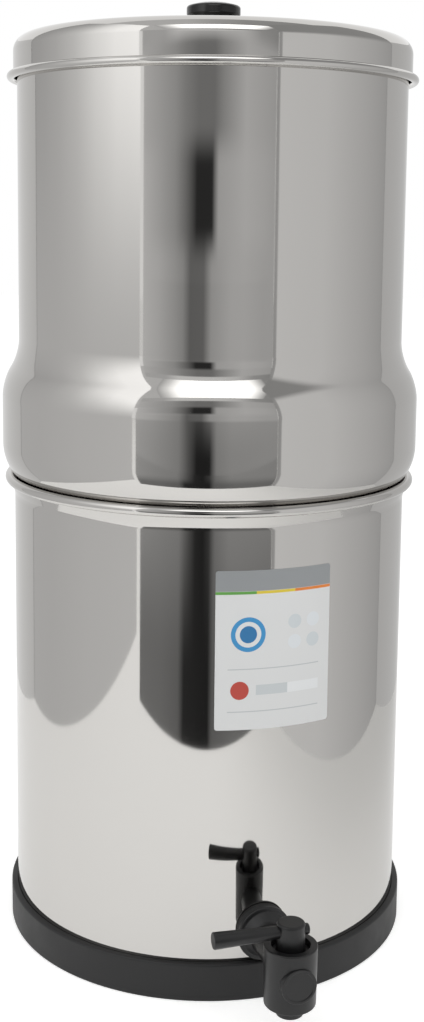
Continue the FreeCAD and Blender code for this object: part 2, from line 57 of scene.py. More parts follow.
def addNode(tree, kind, inputs=None, **settings):
    # a socket among the inputs is linked, anything else is set
    node = tree.nodes.new(kind)
    for name, value in settings.items():
        setattr(node, name, value)
    for name, value in (inputs or {}).items():
        if isinstance(value, bpy.types.NodeSocket):
            tree.links.new(value, node.inputs[name])
        else:
            node.inputs[name].default_value = value
    return node


def startMaterial(name, **sockets):
    material = bpy.data.materials.new(name)
    material.use_nodes = True
    tree = material.node_tree
    shader = tree.nodes["Principled BSDF"]
    for socket, value in sockets.items():
        shader.inputs[socket].default_value = value
    place = addNode(tree, "ShaderNodeTexCoord")
    return material, tree, shader, place


def roundCorner(bm, vert, radius):
    # turns one corner of a wire outline into an arc of this radius
    ways = [(edge.other_vert(vert).co - vert.co).normalized() for edge in vert.link_edges]
    half = ways[0].angle(ways[1]) / 2
    turn = math.degrees(math.pi - 2 * half)
    bmesh.ops.bevel(bm, geom=[vert], offset=radius / math.tan(half), offset_type="OFFSET",
                    segments=max(3, round(turn / edgeTurn)), profile=0.5, affect="VERTICES", material=-1,
                    clamp_overlap=False)


def addTurned(bm, corners, steps=96, closed=False):
    # spins an outline of (radius, height[, rounding]) corners in mm about Z
    old = set(bm.verts)
    verts = [bm.verts.new((corner[0] * mm, 0, corner[1] * mm)) for corner in corners]
    for first, second in zip(verts, verts[1:]):
        bm.edges.new((first, second))
    if closed:
        bm.edges.new((verts[-1], verts[0]))
    for vert, corner in zip(verts, corners):
        if len(corner) == 3:
            roundCorner(bm, vert, corner[2] * mm)
    fresh = [vert for vert in bm.verts if vert not in old]
    bmesh.ops.remove_doubles(bm, verts=fresh, dist=mergeGap)
    fresh = [vert for vert in bm.verts if vert not in old]
    edges = list({edge for vert in fresh for edge in vert.link_edges})
    bmesh.ops.spin(bm, geom=fresh + edges, cent=(0, 0, 0), axis=up, dvec=(0, 0, 0),
                   angle=2 * math.pi, steps=steps, use_merge=True, use_duplicate=False)
    fresh = [vert for vert in bm.verts if vert not in old]
    bmesh.ops.remove_doubles(bm, verts=fresh, dist=mergeGap)
    faces = list({face for vert in bm.verts if vert not in old for face in vert.link_faces})
    bmesh.ops.recalc_face_normals(bm, faces=faces)
    return [vert for vert in bm.verts if vert not in old]


def addBead(bm, radius, height, tube, steps=256):
    # a rolled edge: a circle of wire spun about Z
    old = set(bm.verts)
    place = Matrix.Translation((radius * mm, 0, height * mm)) @ Matrix.Rotation(math.pi / 2, 4, "X")
    bmesh.ops.create_circle(bm, segments=32, radius=tube * mm, matrix=place)
    fresh = [vert for vert in bm.verts if vert not in old]
    edges = list({edge for vert in fresh for edge in vert.link_edges})
    bmesh.ops.spin(bm, geom=fresh + edges, cent=(0, 0, 0), axis=up, dvec=(0, 0, 0),
                   angle=2 * math.pi, steps=steps, use_merge=True, use_duplicate=False)
    faces = list({face for vert in bm.verts if vert not in old for face in vert.link_faces})
    bmesh.ops.recalc_face_normals(bm, faces=faces)


def finishPiece(name, bm, material, body, nodes=(), creaseAngle=40, evenNormals=False):
    mesh = bpy.data.meshes.new(name)
    bm.to_mesh(mesh)
    bm.free()
    mesh.shade_smooth()
    mesh.set_sharp_from_angle(angle=math.radians(creaseAngle))
    mesh.materials.append(material)
    piece = bpy.data.objects.new(name, mesh)
    bpy.context.scene.collection.objects.link(piece)
    if evenNormals:  # long flat runs keep their own normal beside a rounded corner
        weighting = piece.modifiers.new("evenNormals", "WEIGHTED_NORMAL")
        weighting.keep_sharp = True
        weighting.weight = flatWeight
    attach(piece, body)
    if nodes:
        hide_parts(*nodes)
    return piece


def moveTo(x=0, y=0, z=0):
    return Matrix.Translation((x * mm, y * mm, z * mm))


facingFront = Matrix.Rotation(math.pi / 2, 4, "X")  # a piece turned on Z then points to -Y


noiseLow, noiseHigh = 0.3, 0.7   # nearly all of a noise texture lies between these


# polished stainless steel: a near mirror with fine lines from the polishing wheel

steelFinish = {
    "colour": "cdcbc8",
    "roughness": 0.045,
    "lineSpacing": 0.6,      # mm between polishing lines, coarser than real so that they show
    "lineDepth": 0.00035,    # mm
    "lineStretch": 12,       # lines per metre round the vessel
    "waveLength": 55.0,      # mm, the sheet's slow waviness
    "waveDepth": 0.012,      # mm
    "hazePerMetre": 9.0,     # slow changes of polish and tint
    "hazeTint": 0.97,        # the darker of the two tints, as a share
}


def makeSteel():
    # the mirror shows the studio; the lines give a faint sheen round the vessel
    material, tree, shader, place = startMaterial("polishedStainlessSteel", Metallic=1.0)
    around = steelFinish["lineStretch"]
    fine = addNode(tree, "ShaderNodeMapping", {
        "Vector": place.outputs["Object"],
        "Scale": (around, around, 1 / (steelFinish["lineSpacing"] * mm))})
    lines = addNode(tree, "ShaderNodeTexNoise", {
        "Vector": fine.outputs["Vector"], "Scale": 1.0, "Detail": 2.0, "Roughness": 0.5})
    wave = addNode(tree, "ShaderNodeTexNoise", {
        "Vector": place.outputs["Object"], "Scale": 1 / (steelFinish["waveLength"] * mm), "Detail": 1.0})
    bent = addNode(tree, "ShaderNodeBump", {
        "Height": wave.outputs["Fac"], "Distance": steelFinish["waveDepth"] * mm})
    lined = addNode(tree, "ShaderNodeBump", {
        "Height": lines.outputs["Fac"], "Distance": steelFinish["lineDepth"] * mm,
        "Normal": bent.outputs["Normal"]})
    tree.links.new(lined.outputs["Normal"], shader.inputs["Normal"])
    haze = addNode(tree, "ShaderNodeTexNoise", {
        "Vector": place.outputs["Object"], "Scale": steelFinish["hazePerMetre"], "Detail": 4.0})
    low = steelFinish["roughness"]
    rough = addNode(tree, "ShaderNodeMapRange", {
        "Value": haze.outputs["Fac"], "From Min": noiseLow, "From Max": noiseHigh,
        "To Min": low * 0.7, "To Max": low * 1.5})
    tree.links.new(rough.outputs["Result"], shader.inputs["Roughness"])
    tint = addNode(tree, "ShaderNodeValToRGB", {"Fac": haze.outputs["Fac"]})
    base = sheetColour(steelFinish["colour"])
    tint.color_ramp.elements[0].color = [c * steelFinish["hazeTint"] for c in base[:3]] + [1]
    tint.color_ramp.elements[1].color = base
    tree.links.new(tint.outputs["Color"], shader.inputs["Base Color"])
    return material


steelSheet = makeSteel()


# plastics, rubbers and the rest: one recipe of fine grain, each with its own colours

cloudsPerMetre = 70.0    # slow changes of colour and gloss, as handling leaves them


def makeMoulded(name, dark, light, roughness, grain, depth, spread=0.06):
    # grain in mm is the size of the mould's texture
    material, tree, shader, place = startMaterial(name)
    speckle = addNode(tree, "ShaderNodeTexNoise", {
        "Vector": place.outputs["Object"], "Scale": 1 / (grain * mm), "Detail": 3.0})
    cloud = addNode(tree, "ShaderNodeTexNoise", {
        "Vector": place.outputs["Object"], "Scale": cloudsPerMetre, "Detail": 5.0})
    tint = addNode(tree, "ShaderNodeValToRGB", {"Fac": cloud.outputs["Fac"]})
    tint.color_ramp.elements[0].position = noiseLow
    tint.color_ramp.elements[0].color = sheetColour(dark)
    tint.color_ramp.elements[1].position = noiseHigh
    tint.color_ramp.elements[1].color = sheetColour(light)
    tree.links.new(tint.outputs["Color"], shader.inputs["Base Color"])
    rough = addNode(tree, "ShaderNodeMapRange", {
        "Value": cloud.outputs["Fac"], "From Min": noiseLow, "From Max": noiseHigh,
        "To Min": roughness - spread, "To Max": roughness + spread})
    tree.links.new(rough.outputs["Result"], shader.inputs["Roughness"])
    grained = addNode(tree, "ShaderNodeBump", {"Height": speckle.outputs["Fac"], "Distance": depth * mm})
    tree.links.new(grained.outputs["Normal"], shader.inputs["Normal"])
    return material


# moulded rubber: near black, satin, with an even fine grain
ringRubber = makeMoulded("satinBlackRubber", "121213", "1a1a1b", 0.52, 0.5, 0.03)
# injection-moulded nylon: black with soft broad highlights
tapPlastic = makeMoulded("mouldedBlackNylon", "0e0e0f", "161617", 0.38, 0.6, 0.02)
# pressed phenolic: the deepest black, with a clear gloss
knobPlastic = makeMoulded("glossBlackPhenolic", "070708", "0b0b0c", 0.2, 1.2, 0.004, spread=0.03)
# silicone rubber: dull, black in the tap and grey elsewhere
tapWasherRubber = makeMoulded("blackSiliconeRubber", "151516", "1d1d1e", 0.6, 0.5, 0.02)
washerRubber = makeMoulded("greySiliconeRubber", "6f706f", "7d7e7c", 0.6, 0.5, 0.02)
# moulded polypropylene: cool white, a little waxy
mountPlastic = makeMoulded("mouldedWhitePolypropylene", "d3d6d8", "dfe1e2", 0.42, 0.7, 0.01)
# slip-cast unglazed ceramic: warm white, matt and open-pored
candleCeramic = makeMoulded("porousWhiteCeramic", "dcd6c8", "ebe6da", 0.88, 0.9, 0.06)
# pressed carbon: matt black and coarse
candleCarbon = makeMoulded("pressedCarbon", "141414", "202020", 0.9, 0.8, 0.08)
# zinc-plated steel: a grey metal with a soft blurred shine
screwSteel = makeMoulded("zincPlatedSteel", "a9abad", "bcbec0", 0.32, 0.8, 0.004)
screwSteel.node_tree.nodes["Principled BSDF"].inputs["Metallic"].default_value = 1.0
print("finishes made")


# foot ring, with an inward lip under the vessel

footRing = {"innerRadius": 91.0, "radius": 107.3, "height": 19.25, "lip": 2.5, "edge": 1.2, "corner": 8.0,
            "innerEdge": 0.4, "wallGap": 0.1}
wallRadius = 104.0


def makeFootRing():
    size = footRing
    seat = wallRadius + size["wallGap"]
    bm = bmesh.new()
    addTurned(bm, [
        (size["innerRadius"], 0, size["innerEdge"]),
        (size["radius"], 0, size["edge"]),
        (size["radius"], size["height"], size["edge"]),
        (seat, size["height"], fineEdge),
        (seat, size["lip"], size["corner"]),
        (size["innerRadius"], size["lip"], size["innerEdge"]),
    ], steps=256, closed=True)
    finishPiece("footRing", bm, ringRubber, "lower", ["base_ring"], evenNormals=True)


makeFootRing()


# lower vessel: straight wall, rounded foot, flared mouth with a rolled edge

lowerVessel = {"wall": 0.8, "floor": 2.5, "corner": 8.0, "flareStart": 235.6, "rimHeight": 243.6,
               "rimTube": 2.5, "flareBend": 9.0}


def makeLowerVessel():
    size = lowerVessel
    wall = size["wall"]
    rim = wallRadius + size["rimTube"]
    bm = bmesh.new()
    addTurned(bm, [
        (0, size["floor"]),
        (wallRadius, size["floor"], size["corner"]),
        (wallRadius, size["flareStart"], size["flareBend"]),
        (rim + wall / 2, size["rimHeight"]),
        (rim - wall / 2, size["rimHeight"]),
        (wallRadius - wall, size["flareStart"], size["flareBend"]),
        (wallRadius - wall, size["floor"] + wall, size["corner"] - wall),
        (0, size["floor"] + wall),
    ], steps=256)
    addBead(bm, rim, size["rimHeight"], size["rimTube"])
    finishPiece("lowerVessel", bm, steelSheet, "lower", ["lower_chamber"], evenNormals=True)


makeLowerVessel()


# upper vessel: rounded foot, wide bulge, a soft step in to the neck, rolled rim under the lid

upperVessel = {"bottom": 235.5, "bulge": 110.15, "neck": 101.4, "corner": 26.5, "stepLow": 58.9,
               "stepHigh": 73.1, "bend": 27.0, "height": 230.4, "rimTube": 2.2, "wall": 0.8}


def makeUpperVessel():
    size = upperVessel
    wall = size["wall"]
    bulge, neck = size["bulge"], size["neck"]
    slope = math.atan2(bulge - neck, size["stepHigh"] - size["stepLow"])
    drop = wall * math.tan(slope / 2)
    bm = bmesh.new()
    addTurned(bm, [
        (0, 0),
        (bulge, 0, size["corner"]),
        (bulge, size["stepLow"], size["bend"]),
        (neck, size["stepHigh"], size["bend"]),
        (neck, size["height"]),
        (neck - wall, size["height"]),
        (neck - wall, size["stepHigh"] - drop, size["bend"] + wall),
        (bulge - wall, size["stepLow"] - drop, size["bend"] - wall),
        (bulge - wall, wall, size["corner"] - wall),
        (0, wall),
    ], steps=256)
    addBead(bm, neck - size["rimTube"], size["height"], size["rimTube"])
    bmesh.ops.transform(bm, matrix=moveTo(z=size["bottom"]), verts=bm.verts)
    finishPiece("upperVessel", bm, steelSheet, "upper", ["upper_chamber"], evenNormals=True)


makeUpperVessel()


# lid: slightly crowned pressing with a turned-down skirt and a rolled edge

lidPressing = {"top": 471.07, "radius": 103.3, "corner": 7.7, "crown": 1.2, "flat": 50.0, "depth": 20.2,
               "bend": 1500.0, "rimTube": 2.05, "wall": 0.8, "screwHole": 2.2}


def makeLid():
    size = lidPressing
    wall = size["wall"]
    edge = -size["depth"]
    bm = bmesh.new()
    addTurned(bm, [
        (size["screwHole"], size["crown"]),
        (size["flat"], size["crown"], size["bend"]),
        (size["radius"], 0, size["corner"]),
        (size["radius"], edge),
        (size["radius"] - wall, edge),
        (size["radius"] - wall, -wall, size["corner"] - wall),
        (size["flat"], size["crown"] - wall, size["bend"] - wall),
        (size["screwHole"], size["crown"] - wall),
    ], steps=256, closed=True)
    addBead(bm, size["radius"] - wall + size["rimTube"], edge, size["rimTube"])
    bmesh.ops.transform(bm, matrix=moveTo(z=size["top"]), verts=bm.verts)
    finishPiece("lidPressing", bm, steelSheet, "lid", ["lid"], evenNormals=True)


makeLid()


# knob: waisted, with a wide flat disc at the top

lidKnob = {"seat": 472.27, "neck": 8.9, "radius": 14.0, "waist": 3.7, "flare": 12.2, "height": 18.5,
           "dome": 2.2, "edge": 1.4, "crownRadius": 7.0, "waistBend": 5.0, "crownBend": 34.0}


def makeKnob():
    size = lidKnob
    bm = bmesh.new()
    addTurned(bm, [
        (0, 0),
        (size["neck"], 0, fineEdge),
        (size["neck"], size["waist"], size["waistBend"]),
        (size["radius"], size["flare"], size["edge"]),
        (size["radius"], size["height"] - size["dome"], size["edge"]),
        (size["crownRadius"], size["height"], size["crownBend"]),
        (0, size["height"]),
    ], steps=96)
    bmesh.ops.transform(bm, matrix=moveTo(z=size["seat"]), verts=bm.verts)
    finishPiece("lidKnob", bm, knobPlastic, "lid", ["knob"], evenNormals=True)


makeKnob()
print("vessels, lid and knob made")


# tap: barrel with a pad on its front, neck and flange against the wall, threaded shank

tapPlace = {"reach": 41.0, "height": 33.8}
tapCentre = moveTo(y=-(wallRadius + tapPlace["reach"]), z=tapPlace["height"])
tapBody = {"barrelTop": 12.65, "barrelBottom": 12.2, "above": 14.4, "below": 14.4, "edge": 0.6,
           "boreTop": 9.16, "boreBottom": 8.46, "recess": 3.0, "floor": 2.2, "spoutHole": 6.56,
           "padRadius": 8.4, "padFront": 13.2, "padDish": 0.3, "padRim": 1.2, "padSlope": 0.4,
           "padEdge": 0.35, "neck": 8.0, "neckStart": 9.3, "neckRoot": 3.0, "hub": 11.5, "hubLength": 4.5,
           "hubEdge": 0.5, "flange": 13.6, "flangeThick": 2.0, "flangeEdge": 0.8, "washer": 2.0,
           "shankBore": 4.6, "shankEnd": 52.8, "threadPitch": 2.0, "threadDepth": 0.5, "crestShare": 0.4,
           "rootShare": 0.7}


def makeTapBody():
    size = tapBody
    bm = bmesh.new()
    top, bottom = size["above"], -size["below"]
    addTurned(bm, [
        (size["spoutHole"], bottom, sharpEdge),
        (size["barrelBottom"], bottom, size["edge"]),
        (size["barrelTop"], top, size["edge"]),
        (size["boreTop"], top, fineEdge),
        (size["boreTop"], top - size["recess"]),
        (size["boreBottom"], bottom + size["floor"]),
        (size["spoutHole"], bottom + size["floor"]),
    ], steps=96, closed=True)
    front = size["padFront"]
    dish = size["padRadius"] - size["padRim"]
    padRoot = size["boreTop"] + 0.1  # inside the barrel's wall
    pad = addTurned(bm, [
        (0, padRoot),
        (size["padRadius"], padRoot),
        (size["padRadius"], front, size["padEdge"]),
        (dish, front, sharpEdge),
        (dish - size["padSlope"], front - size["padDish"], sharpEdge),
        (0, front - size["padDish"]),
    ], steps=96)
    bmesh.ops.transform(bm, matrix=facingFront, verts=pad)
    wallSide = tapPlace["reach"] - size["washer"]
    flangeFront = wallSide - size["flangeThick"]
    hubFront = flangeFront - size["hubLength"]
    thread = []  # crest and root of each turn, from the flange to the end
    along = wallSide
    while along + size["threadPitch"] < size["shankEnd"]:
        thread += [(size["neck"], along), (size["neck"], along + size["threadPitch"] * size["crestShare"]),
                   (size["neck"] - size["threadDepth"], along + size["threadPitch"] * size["rootShare"])]
        along += size["threadPitch"]
    shank = addTurned(bm, [
        (size["shankBore"], size["neckStart"]),
        (size["neck"], size["neckStart"]),
        (size["neck"], hubFront, size["neckRoot"]),
        (size["hub"], flangeFront, size["hubEdge"]),
        (size["flange"], flangeFront, size["flangeEdge"]),
        (size["flange"], wallSide, sharpEdge),
    ] + thread + [
        (size["neck"] - size["threadDepth"], size["shankEnd"]),
        (size["shankBore"], size["shankEnd"]),
    ], steps=96, closed=True)
    bmesh.ops.transform(bm, matrix=facingFront.inverted(), verts=shank)
    bmesh.ops.transform(bm, matrix=tapCentre, verts=bm.verts)
    finishPiece("tapBarrel", bm, tapPlastic, "lower", ["tap_body"], creaseAngle=30,
                evenNormals=True)


makeTapBody()


# key of the tap: a tapered plug with its spout below and its head above

tapKey = {"plugTop": 9.1, "plugBottom": 8.4, "shoulder": 11.4, "plugFoot": -12.14, "head": 6.65,
          "headTop": 25.2, "headEdge": 1.2, "headRoot": 0.6, "spout": 6.5, "spoutEnd": -19.8,
          "spoutEdge": 0.5, "spoutBore": 4.9, "boreTop": 6.4, "boreCone": 2, "snap": 6.85, "snapTop": -14.7,
          "snapHeight": 0.8}


def makeTapKey():
    size = tapKey
    bm = bmesh.new()
    addTurned(bm, [
        (0, size["boreTop"] + size["boreCone"]),
        (size["spoutBore"], size["boreTop"]),
        (size["spoutBore"], size["spoutEnd"], fineEdge),
        (size["spout"], size["spoutEnd"], size["spoutEdge"]),
        (size["spout"], size["snapTop"] - 2 * size["snapHeight"]),
        (size["snap"], size["snapTop"] - size["snapHeight"]),
        (size["snap"], size["snapTop"]),
        (size["spout"], size["snapTop"]),
        (size["spout"], size["plugFoot"]),
        (size["plugBottom"], size["plugFoot"]),
        (size["plugTop"], size["shoulder"], fineEdge),
        (size["head"], size["shoulder"], size["headRoot"]),
        (size["head"], size["headTop"], size["headEdge"]),
        (0, size["headTop"]),
    ], steps=80)
    bmesh.ops.transform(bm, matrix=tapCentre, verts=bm.verts)
    finishPiece("tapPlug", bm, tapPlastic, "tap_key", ["tap_key"], creaseAngle=30,
                evenNormals=True)


makeTapKey()

tapLever = {"longSide": 37.5, "shortSide": 8.7, "longRadius": 3.9, "shortRadius": 2.5, "edge": 0.6,
            "height": 20.8}


def makeTapLever():
    size = tapLever
    bm = bmesh.new()
    addTurned(bm, [
        (0, -size["shortSide"]),
        (size["shortRadius"], -size["shortSide"], size["edge"]),
        (size["longRadius"], size["longSide"], size["edge"]),
        (0, size["longSide"]),
    ], steps=64)
    lying = Matrix.Rotation(-math.pi / 2, 4, "Y")  # its long end points to -X
    bmesh.ops.transform(bm, matrix=tapCentre @ moveTo(z=size["height"]) @ lying, verts=bm.verts)
    finishPiece("leverBar", bm, tapPlastic, "tap_key", ["tap_lever"], creaseAngle=30)


makeTapLever()

backNut = {"acrossFlats": 24.0, "thickness": 6.0, "bore": 8.1, "front": 101.2, "corner": 0.9}


def makeBackNut():
    # six-sided nut: a short prism with its hole left open for the shank
    size = backNut
    bm = bmesh.new()
    reach = size["acrossFlats"] / 2 / math.cos(math.pi / 6) * mm
    bmesh.ops.create_circle(bm, segments=6, radius=reach, matrix=Matrix.Rotation(math.pi / 6, 4, "Z"))
    bmesh.ops.bevel(bm, geom=bm.verts[:], offset=size["corner"] * mm, offset_type="OFFSET", segments=3,
                    profile=0.5, affect="VERTICES", material=-1)
    outline = bm.edges[:]
    bmesh.ops.create_circle(bm, segments=48, radius=size["bore"] * mm)
    hole = [edge for edge in bm.edges if edge not in outline]
    bmesh.ops.triangle_fill(bm, edges=outline + hole, use_beauty=True)
    bmesh.ops.solidify(bm, geom=bm.faces[:], thickness=size["thickness"] * mm)
    low = min(vert.co.z for vert in bm.verts)
    bmesh.ops.translate(bm, vec=(0, 0, -low), verts=bm.verts)
    place = moveTo(y=-size["front"], z=tapPlace["height"]) @ facingFront.inverted()
    bmesh.ops.transform(bm, matrix=place, verts=bm.verts)
    bmesh.ops.recalc_face_normals(bm, faces=bm.faces)
    finishPiece("backNut", bm, tapPlastic, "lower", ["tap_back_nut"], creaseAngle=30)


makeBackNut()
print("tap made")


# filter candles: ceramic shells on plastic mounts, held by wing nuts under the floor

candles = {"count": 4, "circle": 54.0, "startAngle": 45.0, "radius": 25.0, "height": 168.0, "wall": 7.5,
           "domeShare": 0.9, "washer": 2.0}
candleMount = {"radius": 26.4, "wall": 1.2, "depth": 8.0, "floor": 4.0, "edge": 1.0, "boss": 13.0,
               "bossHeight": 3.0, "stem": 6.0, "stemBore": 2.4, "stemLength": 26.0, "stemEdge": 0.8}
wingNut = {"gap": 0.1, "radius": 9.5, "height": 8.0, "topEdge": 0.5, "lowEdge": 0.8, "span": 36.0,
           "wingHeight": 11.0, "wingThick": 3.0, "wingRoot": 2, "wingSink": 0.5, "wingRound": 3}
washerTop = upperVessel["wall"] + candles["washer"]


def stemPlace(number):
    angle = math.radians(candles["startAngle"] + 360 / candles["count"] * number)
    return Matrix.Rotation(angle, 4, "Z") @ moveTo(x=candles["circle"], z=upperVessel["bottom"])


def makeCandleShell(number):
    size = candles
    radius, wall, height = size["radius"], size["wall"], size["height"]
    cupFloor = washerTop + candleMount["bossHeight"] + candleMount["floor"]
    bm = bmesh.new()
    addTurned(bm, [
        (radius - wall, 0),
        (radius, 0),
        (radius, height, radius * size["domeShare"]),
        (0, height),
        (0, height - wall),
        (radius - wall, height - wall, (radius - wall) * size["domeShare"]),
    ], steps=64, closed=True)
    bmesh.ops.transform(bm, matrix=stemPlace(number) @ moveTo(z=cupFloor), verts=bm.verts)
    finishPiece(f"candleShell_{number + 1}", bm, candleCeramic, "upper", [f"candle_shell_{number + 1}"])


def makeCandleMount(number):
    size = candleMount
    boss, cupFloor = size["bossHeight"], size["bossHeight"] + size["floor"]
    cupTop = cupFloor + size["depth"]
    outer, inner = size["radius"], size["radius"] - size["wall"]
    bm = bmesh.new()
    addTurned(bm, [
        (size["stemBore"], -size["stemLength"]),
        (size["stem"], -size["stemLength"], size["stemEdge"]),
        (size["stem"], 0),
        (size["boss"], 0, fineEdge),
        (size["boss"], boss),
        (outer, boss, size["edge"]),
        (outer, cupTop, fineEdge),
        (inner, cupTop, fineEdge),
        (inner, cupFloor),
        (size["stemBore"], cupFloor),
    ], steps=64, closed=True)
    bmesh.ops.transform(bm, matrix=stemPlace(number) @ moveTo(z=washerTop), verts=bm.verts)
    finishPiece(f"candleMount_{number + 1}", bm, mountPlastic, "upper", [f"candle_mount_{number + 1}"],
                evenNormals=True)


def isWingTip(edge, outer):
    # the two level edges at a wing's free end
    first, second = (vert.co for vert in edge.verts)
    atEnd = abs(first.x - outer) < 1e-5 and abs(second.x - outer) < 1e-5
    return atEnd and abs(first.z - second.z) < 1e-6


def makeWingNut(number):
    size = wingNut
    bore = candleMount["stem"] + size["gap"]
    bm = bmesh.new()
    addTurned(bm, [
        (bore, 0),
        (size["radius"], 0, size["topEdge"]),
        (size["radius"], -size["height"], size["lowEdge"]),
        (bore, -size["height"]),
    ], steps=48, closed=True)
    reach = size["span"] / 2 - size["radius"] + size["wingSink"]
    fall = size["wingHeight"] + size["height"] / 2 - size["wingRoot"]
    block = Matrix.Diagonal((reach * mm, size["wingThick"] * mm, fall * mm, 1))
    for side in (-1, 1):  # the two wings, rounded where the fingers push
        wing = bmesh.ops.create_cube(bm, size=1.0)["verts"]
        middle = moveTo(x=side * (size["span"] / 2 - reach / 2), z=-size["wingRoot"] - fall / 2)
        bmesh.ops.transform(bm, matrix=middle @ block, verts=wing)
        outer = side * size["span"] / 2 * mm
        tips = [edge for edge in {e for vert in wing for e in vert.link_edges} if isWingTip(edge, outer)]
        bmesh.ops.bevel(bm, geom=tips, offset=size["wingRound"] * mm, offset_type="OFFSET", segments=6,
                        profile=0.5, affect="EDGES", material=-1)
    bmesh.ops.transform(bm, matrix=stemPlace(number), verts=bm.verts)
    finishPiece(f"wingNut_{number + 1}", bm, mountPlastic, "upper", [f"candle_nut_{number + 1}"])


for number in range(candles["count"]):
    makeCandleShell(number)
    makeCandleMount(number)
    makeWingNut(number)
print("candles made")


# label: a coated paper sticker that follows the wall, with a plain generic print

labelSheet = {"width": 59.2, "height": 78.2, "bottom": 137.0, "thickness": 0.15, "glue": 0.03, "corner": 2.0,
              "turn": 2.3, "paper": "dadbdb", "fibre": 0.4, "fibreDepth": 0.004, "across": 48, "upward": 8}
# (kind, centre across, centre up, width, height, colour) in mm from the sticker's lower left corner
labelPrint = [
    ("bar", 29.6, 73.2, 59.2, 10.0, "8f9294"),
    ("bar", 9.9, 67.4, 19.8, 1.4, "5f9f46"),
    ("bar", 29.6, 67.4, 19.6, 1.4, "d9c23c"),
    ("bar", 49.3, 67.4, 19.8, 1.4, "dd7f33"),
    ("disc", 16.0, 47.0, 17.0, 17.0, "3d8fc4"),
    ("disc", 16.0, 47.0, 12.6, 12.6, "dadbdb"),
    ("disc", 16.0, 47.0, 8.4, 8.4, "2e74a8"),
    ("disc", 39.5, 52.0, 7.0, 7.0, "c9cfd2"),
    ("disc", 49.5, 52.0, 7.0, 7.0, "d9dde0"),
    ("disc", 39.5, 42.0, 7.0, 7.0, "d9dde0"),
    ("disc", 49.5, 42.0, 7.0, 7.0, "c9cfd2"),
    ("bar", 29.6, 30.0, 47.0, 0.5, "b9bdbf"),
    ("bar", 29.6, 9.0, 47.0, 0.5, "b9bdbf"),
    ("disc", 12.0, 19.5, 9.0, 9.0, "b8473c"),
    ("bar", 36.5, 19.5, 33.0, 5.0, "e0e2e3"),
    ("bar", 28.0, 19.5, 16.0, 5.0, "c3c8ca"),
]


def makeLabelPaper():
    # coated paper: nearly white, a soft sheen, printed flat
    material, tree, shader, place = startMaterial("coatedLabelPaper", Roughness=0.38)
    onSheet = addNode(tree, "ShaderNodeMapping", {
        "Vector": place.outputs["UV"], "Scale": (labelSheet["width"], labelSheet["height"], 1)})
    fibres = addNode(tree, "ShaderNodeTexNoise", {
        "Vector": onSheet.outputs["Vector"], "Scale": 1 / labelSheet["fibre"], "Detail": 4.0})
    paper = addNode(tree, "ShaderNodeValToRGB", {"Fac": fibres.outputs["Fac"]})
    base = sheetColour(labelSheet["paper"])
    paper.color_ramp.elements[0].color = [c * 0.95 for c in base[:3]] + [1]
    paper.color_ramp.elements[1].color = base
    colour = paper.outputs["Color"]
    for kind, across, high, width, height, code in labelPrint:
        shift = addNode(tree, "ShaderNodeVectorMath", {0: onSheet.outputs["Vector"], 1: (across, high, 0)},
                        operation="SUBTRACT")
        if kind == "disc":
            reach = addNode(tree, "ShaderNodeVectorMath", {0: shift.outputs["Vector"]}, operation="LENGTH")
            inside = addNode(tree, "ShaderNodeMath", {0: reach.outputs["Value"], 1: width / 2},
                             operation="LESS_THAN")
        else:
            span = addNode(tree, "ShaderNodeVectorMath", {
                0: shift.outputs["Vector"], 1: (2 / width, 2 / height, 0)}, operation="MULTIPLY")
            size = addNode(tree, "ShaderNodeVectorMath", {0: span.outputs["Vector"]}, operation="ABSOLUTE")
            parts = addNode(tree, "ShaderNodeSeparateXYZ", {"Vector": size.outputs["Vector"]})
            widest = addNode(tree, "ShaderNodeMath", {0: parts.outputs["X"], 1: parts.outputs["Y"]},
                             operation="MAXIMUM")
            inside = addNode(tree, "ShaderNodeMath", {0: widest.outputs["Value"], 1: 1.0},
                             operation="LESS_THAN")
        ink = addNode(tree, "ShaderNodeMix", {"Factor": inside.outputs["Value"]}, data_type="RGBA")
        tree.links.new(colour, ink.inputs[6])
        ink.inputs[7].default_value = sheetColour(code)
        colour = ink.outputs[2]
    tree.links.new(colour, shader.inputs["Base Color"])
    raised = addNode(tree, "ShaderNodeBump", {
        "Height": fibres.outputs["Fac"], "Distance": labelSheet["fibreDepth"] * mm})
    tree.links.new(raised.outputs["Normal"], shader.inputs["Normal"])
    return material


def makeLabel():
    size = labelSheet
    bm = bmesh.new()
    shape = Matrix.Diagonal((size["width"] / 2 * mm, size["height"] / 2 * mm, 1, 1))
    middle = moveTo(y=size["bottom"] + size["height"] / 2)
    bmesh.ops.create_grid(bm, x_segments=size["across"], y_segments=size["upward"], size=1.0,
                          matrix=middle @ shape)
    corners = [vert for vert in bm.verts if len(vert.link_edges) == 2]
    cut = min(size["corner"], size["width"] / size["across"])  # no wider than one cell of the grid
    bmesh.ops.bevel(bm, geom=corners, offset=cut * mm, offset_type="OFFSET", segments=4, profile=0.5,
                    affect="VERTICES", material=-1)
    sheet = bm.loops.layers.uv.new("sheet")
    for face in bm.faces:
        for loop in face.loops:
            flat = loop.vert.co / mm
            loop[sheet].uv = (flat.x / size["width"] + 0.5, (flat.y - size["bottom"]) / size["height"])
    front = wallRadius + size["glue"] + size["thickness"]
    for vert in bm.verts:  # bend the flat sheet round the wall
        turn = vert.co.x / (front * mm) + math.radians(size["turn"])
        vert.co = Vector((math.sin(turn) * front, -math.cos(turn) * front, vert.co.y / mm)) * mm
    bmesh.ops.recalc_face_normals(bm, faces=bm.faces)
    outward = bm.faces[:][0]
    if outward.normal.dot(outward.calc_center_median() * Vector((1, 1, 0))) < 0:
        bmesh.ops.reverse_faces(bm, faces=bm.faces)
    bmesh.ops.solidify(bm, geom=bm.faces[:], thickness=size["thickness"] * mm)
    finishPiece("labelSheet", bm, makeLabelPaper(), "lower", ["label"], creaseAngle=40)


